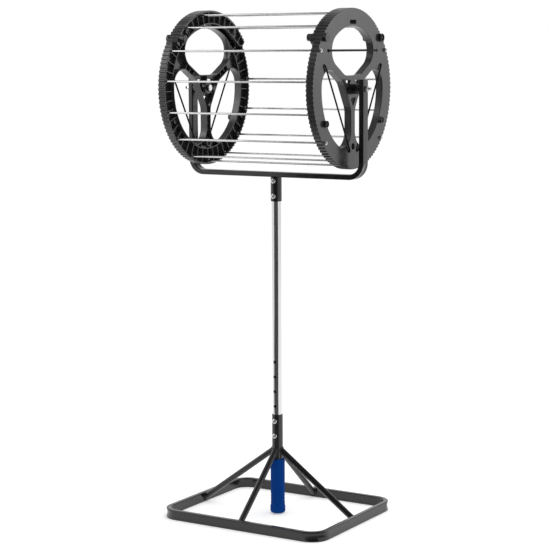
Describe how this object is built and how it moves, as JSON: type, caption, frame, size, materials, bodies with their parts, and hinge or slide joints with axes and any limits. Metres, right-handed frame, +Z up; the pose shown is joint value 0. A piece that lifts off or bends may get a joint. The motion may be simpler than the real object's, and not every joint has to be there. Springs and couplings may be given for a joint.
{
  "type": "tennis ball cart",
  "caption": "Wire drum between two spoked end discs, rolling in a fork on a height-adjustable pole with a rectangular ring base and grip.",
  "frame": {"origin": "on the floor under the pole, midway along the base ring both ways", "axes": "+X along the drum's axle towards its right end disc, +Y towards the back, +Z up the pole"},
  "size_m": [0.4256, 0.306, 1.0054],
  "materials": {
    "dark_tube": "satin black powder coat",
    "polished_tube": "polished",
    "zinc": "bright zinc",
    "grey_plastic": "fine matte grain",
    "black_plastic": "satin",
    "black_wire": "satin black",
    "steel_wire": "bright drawn",
    "blue_rubber": "matte"
  },
  "bodies": {
    "stand": {"base_ring": "dark_tube", "strut_front": "dark_tube", "strut_right": "dark_tube", "strut_back": "dark_tube", "strut_left": "dark_tube", "stand_tube": "dark_tube", "grip": "blue_rubber", "stand_screw_upper": "zinc", "stand_screw_lower": "zinc"},
    "mast": {"pole": "polished_tube", "fork": "dark_tube", "fork_socket": "dark_tube", "socket_screw_upper": "zinc", "socket_screw_lower": "zinc", "axle_bolt_left": "zinc", "axle_bolt_right": "zinc", "axle_nut_left": "zinc", "axle_nut_right": "zinc", "arm_cap_left": "black_plastic", "arm_cap_right": "black_plastic"},
    "drum": {"end_disc_left": "grey_plastic", "end_disc_right": "grey_plastic", "hub_bush_left": "black_plastic", "hub_bush_right": "black_plastic", "hinge_pin_left": "black_plastic", "hinge_pin_right": "black_plastic", "latch_pin_left": "black_plastic", "latch_pin_right": "black_plastic", "plug_front_left": "black_plastic", "plug_front_right": "black_plastic", "plug_back_left": "black_plastic", "plug_back_right": "black_plastic", "guard_rod_left_1": "black_wire", "guard_rod_left_2": "black_wire", "guard_rod_left_3": "black_wire", "guard_rod_right_1": "black_wire", "guard_rod_right_2": "black_wire", "guard_rod_right_3": "black_wire", "cage_wire_1": "steel_wire", "cage_wire_2": "steel_wire", "cage_wire_3": "steel_wire", "cage_wire_4": "steel_wire", "cage_wire_5": "steel_wire", "cage_wire_6": "steel_wire", "cage_wire_7": "steel_wire", "tie_bolt_1": "steel_wire", "tie_bolt_2": "steel_wire", "tie_bolt_3": "steel_wire", "tie_bolt_4": "steel_wire", "tie_nut_1": "zinc", "tie_nut_2": "zinc", "tie_nut_3": "zinc", "tie_nut_4": "zinc"},
    "hatch": {"hatch_arc_left": "grey_plastic", "hatch_arc_right": "grey_plastic", "hatch_wire_1": "steel_wire", "hatch_wire_2": "steel_wire", "hatch_wire_3": "steel_wire", "hatch_wire_4": "steel_wire"}
  },
  "joints": [
    {"name": "height_slide", "type": "slide", "parent": "stand", "child": "mast", "axis": [0, 0, 1], "range_m": [-0.12, 0]},
    {"name": "drum_spin", "type": "hinge", "parent": "mast", "child": "drum", "pos_m": [0, 0, 0.8524], "axis": [1, 0, 0], "continuous": true},
    {"name": "hatch_swing", "type": "hinge", "parent": "drum", "child": "hatch", "pos_m": [0, 0.10776, 0.94942], "axis": [-1, 0, 0], "range_deg": [0, 110]}
  ]
}
